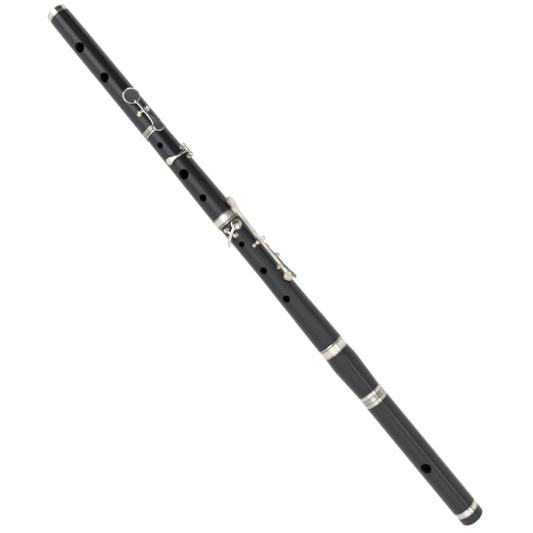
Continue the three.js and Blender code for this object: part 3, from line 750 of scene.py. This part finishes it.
def along_axle(turn, height):
    """Turns a shape spun on Z so that it lies along the axle."""
    return (Matrix.Translation((0, 0, height)) @ Matrix.Rotation(turn, 4, "Z")
            @ Matrix.Rotation(math.pi / 2, 4, "Y"))


def post_outline(surface, height):
    """Outline of a post: pin in the wood, turned collar, waisted neck and ball."""
    collar = [(0, surface - 1.9), (1.25, surface - 1.9), (1.25, surface - 0.6), (2.15, surface - 0.6),
              (2.3, surface), (2.25, surface + 0.45), (1.95, surface + 0.8)]
    neck_top = height - math.sqrt(POST_BALL ** 2 - POST_NECK ** 2)
    neck = [(POST_NECK, surface + 1.0), (POST_NECK, neck_top)]
    start = math.asin(POST_NECK / POST_BALL)
    ball = [(POST_BALL * math.sin(a), height - POST_BALL * math.cos(a))
            for a in np.linspace(start, math.pi, 14)[1:-1]]
    return collar + neck + ball + [(0, height + POST_BALL)]


def build_posts(key):
    """A key's two drilled posts and the slotted screw through them."""
    place, height, turn = hinge_of(key)
    half, wood = POST_HALF[key], WOOD_AT[key] * FACET
    first = half if key == "c_key" else -half
    for number, reach in ((1, first), (2, -first)):
        node = f"{key}_post_{number}"
        x, y = reach * math.cos(turn), reach * math.sin(turn)
        surface = math.sqrt(wood ** 2 - y ** 2)
        shape = moved(spun(post_outline(surface, height)), place @ Matrix.Translation((x, y, 0)))
        obj = make_object(f"{key}_pillar_{number}", *shape, 40)
        drill = spun([(0, -20), (AXLE_HOLE, -20), (AXLE_HOLE, 20), (0, 20)])
        carve(obj, [moved(drill, place @ along_axle(turn, height))])
        finish_piece(obj, POST_BODY[key], node, KEY_SILVER)
    reach = half + POST_BALL + 0.15
    head = [(0, -reach), (0.85, -reach), (SCREW_HEAD, -reach + 0.15), (SCREW_HEAD, -reach + 1.2),
            (AXLE_RADIUS, -reach + 1.2),
            (AXLE_RADIUS, reach - 0.2), (AXLE_RADIUS - 0.2, reach), (0, reach)]
    axle = make_object(f"{key}_pivot_screw", *moved(spun(head, 24), place @ along_axle(turn, height)))
    slot = [(x, y, z) for z in (-reach - 1, -reach + 0.4)
            for x, y in ((-2, -0.14), (2, -0.14), (2, 0.14), (-2, 0.14))]
    sides = [(0, 1, 2, 3), (4, 5, 6, 7), (0, 1, 5, 4), (1, 2, 6, 5), (2, 3, 7, 6), (3, 0, 4, 7)]
    carve(axle, [moved((slot, sides), place @ along_axle(turn, height))])
    finish_piece(axle, POST_BODY[key], key + "_axle", STEEL)


def hinge_tube(key):
    """The lever's own tube between the posts, with a bead at each end."""
    _, height, turn = hinge_of(key)
    reach = POST_HALF[key] - POST_BALL - GAP
    r = HINGE_RADIUS
    end = [(r - 0.1, -reach), (r, -reach + 0.15), (r, -reach + 0.7), (r - 0.3, -reach + 0.95)]
    other_end = [(radius, -height) for radius, height in reversed(end)]
    outline = [(AXLE_HOLE, -reach), *end, *other_end, (AXLE_HOLE, reach)]
    return moved(spun(outline), along_axle(turn, height))


def domed_cup(seat):
    """A domed pad cup: a beaded crown plate over a wider turned rim, hollow for the pad."""
    outer, inner, plate = 5.38, 4.8, 4.7
    crown = seat + 4.1
    dome = [(r, crown - 0.45 * (r / plate) ** 2) for r in np.linspace(0, plate - 0.75, 8)]
    edge = crown - 0.5
    bead = [(plate - 0.6, edge + 0.02), (plate - 0.35, edge + 0.22), (plate, edge + 0.15),
            (plate + 0.15, edge - 0.15), (plate, edge - 0.5), (plate - 0.3, edge - 0.65)]
    rim = [(plate - 0.3, edge - 0.95), (outer - 0.2, edge - 1.1), (outer, edge - 1.3), (outer, seat + 1.7),
           (outer - 0.15, seat + 1.5), (inner, seat + 1.5), (inner, seat + 2.7), (0, seat + 2.7)]
    return dome + bead + rim


def plate_cup():
    """The E flat key's broad flat cup: a thin plate with a raised lip, on a lower wall."""
    return [(0, 14.8), (4, 14.8), (7.3, 14.8), (7.55, 14.95), (8.1, 15.0), (8.42, 14.8), (8.42, 14.3),
            (8.2, 14.05), (6.9, 13.95), (6.75, 13.7), (6.75, 12.35), (6.6, 12.2), (6.2, 12.2),
            (6.2, 13.88), (0, 13.88)]


def flat_rows(rows):
    """Stations of a lever that runs along the bore: (x, y, z, half width, half thickness)."""
    return [(x, y, z, 0, 1, half, thick) for x, y, z, half, thick in rows]


def round_rows(place, rows):
    """Stations of a lever that goes round the tube, as (x, degrees, radius, half, thick)."""
    back = place.inverted()
    result = []
    for x, degrees, radius, half, thick in rows:
        angle = math.radians(degrees)
        out = Vector((0, math.sin(angle), math.cos(angle)))
        centre = back @ (Vector((place.translation.x + x, 0, AXIS)) + out * radius)
        up = back.to_3x3() @ out
        result.append((*centre, up.y, up.z, half, thick))
    return result


# shafts from end to end, as flat_rows and round_rows take them
EB_SHAFT = [(-13.4, 0, 15.0, 0.9, 0.35), (-12.0, 0, 15.15, 1.15, 0.5), (-8.5, 0, 15.6, 1.15, 0.6),
            (-3, 0, 16.0, 1.2, 0.75), (3, 0.1, 16.1, 1.3, 0.7), (7, 0.25, 16.1, 1.35, 0.65),
            (10.5, 0.5, 16.12, 1.6, 0.6), (14, 0.9, 16.15, 2.5, 0.55), (17, 1.15, 16.2, 3.8, 0.48),
            (20, 1.2, 16.35, 4.9, 0.45), (23, 1.2, 16.6, 5.15, 0.45), (25.2, 1.2, 16.8, 4.1, 0.42),
            (26.4, 1.2, 16.9, 2.5, 0.4), (26.9, 1.2, 16.95, 0.9, 0.3)]
C_SHAFT = [(-54.5, 1, 18.1, 1.0, 0.5), (-53.9, 1, 18.1, 2.5, 0.75), (-52.5, 1, 18.08, 3.9, 0.9),
           (-50, 1, 18.02, 4.75, 0.95), (-47, 1, 17.95, 4.85, 1.0), (-44, 0.8, 17.85, 4.3, 1.05),
           (-41, 0.4, 17.75, 3.3, 1.05), (-38, 0.1, 17.6, 2.6, 1.05), (-34, 0, 17.3, 2.4, 1.05),
           (-26, 0, 16.95, 2.2, 1.05), (-12, 0, 16.5, 2.0, 1.05), (0, 0, 16.25, 1.9, 1.0),
           (14, 0, 16.05, 1.75, 0.95), (30, 0, 15.9, 1.7, 0.95), (36, 0, 15.6, 1.6, 0.9),
           (39, 0, 15.1, 1.5, 0.8), (41, 0, 14.8, 1.2, 0.6)]
BFLAT_SHAFT = [(-12.5, 0, 15.0, 0.8, 0.4), (-10.5, 0, 15.25, 1.2, 0.6), (-6, 0, 15.7, 1.35, 0.7),
               (0, 0, 16.2, 1.5, 0.75), (8, 0, 16.35, 1.5, 0.7), (14, 0, 16.5, 2.0, 0.65),
               (19, 0, 16.7, 3.3, 0.6), (24, 0, 17.1, 4.4, 0.6), (27.5, 0, 17.5, 4.1, 0.6),
               (29.4, 0, 17.75, 2.6, 0.5), (30.1, 0, 17.85, 0.9, 0.35)]
F_SHAFT = [(-1.4, -44, 15.4, 0.8, 0.3), (-1.4, -42.5, 15.4, 1.9, 0.45), (-1.4, -39, 15.4, 2.95, 0.55),
           (-1.4, -34, 15.35, 3.4, 0.6), (-1.3, -28, 15.35, 3.4, 0.6), (-1.1, -21, 15.35, 2.8, 0.6),
           (-0.8, -12, 15.35, 1.9, 0.6), (-0.5, -2, 15.35, 1.45, 0.6), (-0.2, 14, 15.4, 1.35, 0.6),
           (0, 34, 15.7, 1.35, 0.6), (0, 48, 16.15, 1.5, 0.7), (0, 62, 16.15, 1.5, 0.7),
           (0, 78, 15.7, 1.4, 0.6), (0, 92, 15.3, 1.4, 0.55), (0, 100, 15.0, 1.3, 0.45)]
GSHARP_SHAFT = [(-2.25, 6.5, 15.35, 0.8, 0.35), (-2.15, 4.5, 15.5, 1.2, 0.5), (-1.9, 1, 15.65, 1.35, 0.6),
                (-1.0, -8, 15.9, 1.3, 0.65), (0.3, -17, 16.1, 1.25, 0.7), (1.6, -26, 16.3, 1.35, 0.7),
                (3.1, -36, 16.55, 1.6, 0.65), (5.0, -46, 16.95, 1.95, 0.55), (7.2, -55, 17.55, 2.1, 0.5),
                (9.4, -61.5, 18.1, 1.5, 0.4), (10.4, -64, 18.35, 0.6, 0.3)]


def build_lever(key, shaft, cup_outline, extra=(), material=KEY_SILVER):
    """A lever in one piece: shaft and touch, hinge tube and pad cup, soldered together."""
    place, _, _ = hinge_of(key)
    pad_place, _, _ = pad_of(key)
    shapes = [moved(loft(shaft), place), moved(hinge_tube(key), place),
              moved(spun(cup_outline, 96), pad_place), *extra]
    obj = make_object(key + "_silver", *merged(shapes))
    finish_piece(obj, key, key + "_lever", material)


def build_pad(key):
    """A leather pad, dished in the middle and round at its edge."""
    place, low, high = pad_of(key)
    radius, _ = PADS[key]
    edge = 0.9
    side = [(radius - edge / 2 * (1 - math.cos(a)), low + edge - edge * math.sin(a))
            for a in np.linspace(math.pi / 2, 0, 6)]
    outline = [(0, low + 0.12), (1.2, low + 0.1), (1.6, low), (radius - edge, low)] + side
    outline += [(radius, high - 0.2), (radius - 0.2, high), (0, high)]
    obj = make_object(key + "_skin_pad", *moved(spun(outline, 64), place))
    finish_piece(obj, key, key + "_pad", LEATHER)


SPRINGS = {
    "eb_key": flat_rows([(5, 0, 13.2, 0.35, 0.1), (7, 0, 13.6, 0.55, 0.15), (11, 0, 14.65, 0.8, 0.18),
                         (14, 0, 15.25, 0.9, 0.2)]),
    "c_key": flat_rows([(-5, 0, 13.1, 0.4, 0.1), (-8, 0, 13.5, 0.6, 0.15), (-13, 0, 14.4, 0.85, 0.18),
                        (-18, 0, 15.25, 1.0, 0.2)]),
    "bflat_key": flat_rows([(5, 0, 13.1, 0.4, 0.1), (7.5, 0, 13.5, 0.6, 0.15), (11, 0, 14.5, 0.85, 0.18),
                            (15, 0, 15.45, 1.0, 0.2)]),
}


def build_springs():
    """The flat spring under each lever."""
    rows = dict(SPRINGS)
    rows["f_key"] = round_rows(hinge_of("f_key")[0], [(0, 40, 13.6, 0.4, 0.1), (0, 34, 13.75, 0.6, 0.15),
                                                      (0, 26, 14.1, 0.85, 0.18), (0, 18, 14.45, 0.95, 0.2)])
    rows["gsharp_key"] = round_rows(hinge_of("gsharp_key")[0], [
        (3.9, -33, 13.6, 0.35, 0.1), (3.9, -38, 13.9, 0.5, 0.15), (3.9, -44, 14.4, 0.65, 0.18),
        (3.9, -50, 15.0, 0.8, 0.2)])
    for key, stations in rows.items():
        place, _, _ = hinge_of(key)
        obj = make_object(key + "_flat_spring", *moved(loft(stations, 6, 12, 0.4), place))
        finish_piece(obj, key, key + "_spring", STEEL)


def rivets(place, points):
    """Small domed rivet heads at (x, degrees, radius) round the tube."""
    dome = [(0, -0.3), (0.75, -0.3), (0.75, 0.0), (0.6, 0.2), (0.3, 0.3), (0, 0.33)]
    return [moved(spun(dome, 20), tube_frame(place.translation.x + x, math.radians(degrees))
                  @ Matrix.Translation((0, 0, radius))) for x, degrees, radius in points]


def build_guide():
    """The forked guide that the long C key's shaft drops into."""
    low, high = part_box("c_key_guide")
    place, _ = frame_at((low + high) / 2)
    path = [(-3.05, 17.0), (-3.1, 15.6), (-3.0, 14.2), (-2.3, 13.2), (-1.2, 12.85), (0, 12.8), (1.2, 12.85),
            (2.3, 13.2), (3.0, 14.2), (3.1, 15.6), (3.05, 17.0)]
    rows = []
    for i, (y, z) in enumerate(path):
        before, after = path[max(i - 1, 0)], path[min(i + 1, len(path) - 1)]
        tangent = Vector((0, after[0] - before[0], after[1] - before[1])).normalized()
        up = Vector((1, 0, 0)).cross(tangent)
        rows.append((0, y, z, up.y, up.z, 0.8 if i in (0, len(path) - 1) else 1.15, 0.42))
    obj = make_object("c_key_fork", *moved(loft(rows, 4, 16), place))
    foot = spun([(0, 10.3), (1.25, 10.3), (1.25, 11.6), (2.2, 11.6), (2.3, 12.0), (2.0, 12.4), (1.4, 12.9),
                 (0, 12.9)])
    carve(obj, [moved(foot, place)], "UNION")
    finish_piece(obj, "upper_body", "c_key_guide", KEY_SILVER)


def build_keys():
    """All five keys, with their posts, pads and springs, and the guide."""
    f_place, g_place = hinge_of("f_key")[0], hinge_of("gsharp_key")[0]
    cups = {key: domed_cup(pad_of(key)[1] - GAP) for key in POST_BODY if key != "eb_key"}
    build_lever("eb_key", flat_rows(EB_SHAFT), plate_cup(), material=COOL_SILVER)
    build_lever("c_key", flat_rows(C_SHAFT), cups["c_key"])
    build_lever("bflat_key", flat_rows(BFLAT_SHAFT), cups["bflat_key"], material=BROWN_SILVER)
    build_lever("f_key", round_rows(f_place, F_SHAFT), cups["f_key"],
                rivets(f_place, [(-1.3, -26, 15.9), (-1.4, -35, 15.9)]))
    build_lever("gsharp_key", round_rows(g_place, GSHARP_SHAFT), cups["gsharp_key"])
    for key in POST_BODY:
        build_posts(key)
        build_pad(key)
    build_springs()
    build_guide()


# ------------------------------------------------------------------ stage, light and camera

def build_floor():
    """A wide pale floor that the flute rests on."""
    mesh = bpy.data.meshes.new("floor")
    half = 6.0
    corners = [(-half, -half, 0), (half, -half, 0), (half, half, 0), (-half, half, 0)]
    mesh.from_pydata(corners, [], [(0, 1, 2, 3)])
    floor = bpy.data.objects.new("floor", mesh)
    bpy.context.scene.collection.objects.link(floor)
    floor.location.z = -0.0002
    n = Nodes("floor_paper")
    grain = n.noise((400, 400, 400), 3.0)
    color = n.ramp(grain, [(0.3, (0.24, 0.24, 0.24)), (0.7, (0.26, 0.26, 0.26))])
    n.set(Base_Color=color, Roughness=0.9, Emission_Color=(1, 1, 1, 1), Emission_Strength=0.80)
    n.shader.inputs["Specular IOR Level"].default_value = 0.1
    mesh.materials.append(n.material)


def build_world():
    """A white studio tent with a dark opening beside the foot, and softer marks beside the rest.

    Seen from above, the polished flute mirrors the tent: a direction's X picks the station
    that shows it, and its tilt from straight up picks how far round the tube.
    """
    world = bpy.data.worlds.new("studio")
    bpy.context.scene.world = world
    world.use_nodes = True
    tree = world.node_tree
    background = tree.nodes["Background"]
    make = tree.nodes.new
    coords = make("ShaderNodeTexCoord")
    split = make("ShaderNodeSeparateXYZ")
    tree.links.new(coords.outputs["Generated"], split.inputs[0])

    def connect(socket, value):
        if isinstance(value, bpy.types.NodeSocket):
            tree.links.new(value, socket)
        else:
            socket.default_value = value

    def calc(operation, first, second):
        node = make("ShaderNodeMath")
        node.operation = operation
        connect(node.inputs[0], first)
        connect(node.inputs[1], second)
        return node.outputs[0]

    def step(value, low, high, to_low=0.0, to_high=1.0):
        node = make("ShaderNodeMapRange")
        node.interpolation_type = "SMOOTHSTEP"
        sockets = ("Value", "From Min", "From Max", "To Min", "To Max")
        for key, number in zip(sockets, (value, low, high, to_low, to_high)):
            connect(node.inputs[key], number)
        return node.outputs["Result"]

    def band(low, low_soft, high, high_soft):
        """1 between two tilts in degrees, with soft edges that end low_soft and high_soft on."""
        rise = step(tilt, low, calc("ADD", low, low_soft))
        return calc("MULTIPLY", rise, step(tilt, high, calc("ADD", high, high_soft), 1.0, 0.0))

    across = split.outputs["X"]
    tilt = calc("MULTIPLY", calc("ARCTAN2", split.outputs["Y"], split.outputs["Z"]), math.degrees(1))
    # the opening is wide and deep by the foot, and narrows and fades towards the head
    opening = band(step(across, -0.31, -0.13, 4.0, 16.0), step(across, -0.15, 0.0, 8.0, 55.0),
                   step(across, -0.15, -0.08, 84.0, 76.0), 8.0)
    depth = calc("MULTIPLY", step(across, -0.17, -0.05, 0.93, 0.42), step(across, 0.09, 0.16, 1.0, 0.1))
    # a dark and a pale line that run along the barrel and the head
    line_end = step(across, 0.13, 0.17)
    dark_line = calc("MULTIPLY", band(39.0, 3.0, 47.0, 3.0), calc("MULTIPLY", line_end, 0.8))
    pale_line = calc("MULTIPLY", band(24.0, 3.0, 31.0, 3.0), calc("MULTIPLY", line_end, 3.2))
    # more light from the other side, most of all by the foot, and a sheen on the upper body
    glow = calc("MULTIPLY", band(-50.0, 20.0, -2.0, 8.0), step(across, -0.42, 0.12, 2.6, 0.4))
    sheen_here = calc("MULTIPLY", step(across, 0.0, 0.05), step(across, 0.09, 0.14, 1.0, 0.0))
    sheen = calc("MULTIPLY", band(-4.0, 12.0, 36.0, 16.0), calc("MULTIPLY", sheen_here, 1.2))
    level = calc("ADD", calc("ADD", 1.32, glow), calc("ADD", pale_line, sheen))
    level = calc("MULTIPLY", level, calc("SUBTRACT", 1.0, calc("MULTIPLY", opening, depth)))
    level = calc("MULTIPLY", level, calc("SUBTRACT", 1.0, dark_line))
    tree.links.new(level, background.inputs["Strength"])
    background.inputs["Color"].default_value = (0.93, 0.98, 1.04, 1)


def build_camera():
    """Looks straight down on the flute, which lies across the frame from corner to corner."""
    distance = 0.700  # fitted, like the lens, to the photo's landmarks
    data = bpy.data.cameras.new("camera")
    data.sensor_width = 36
    data.lens = 46.6
    camera = bpy.data.objects.new("camera", data)
    bpy.context.scene.collection.objects.link(camera)
    camera.location = (0.0028, 0.0003, AXIS * MM + distance)
    camera.rotation_euler = (0, 0, math.radians(50.5))
    bpy.context.scene.camera = camera


build_camera()
build_foot()
build_lower_body()
build_upper_body()
build_barrel()
build_head()
build_slide_tube()
build_cap_and_cork()
build_lappings()
build_rings()
build_keys()
build_floor()
build_world()
bpy.context.scene.view_settings.view_transform = "Standard"

bpy.context.view_layer.update()
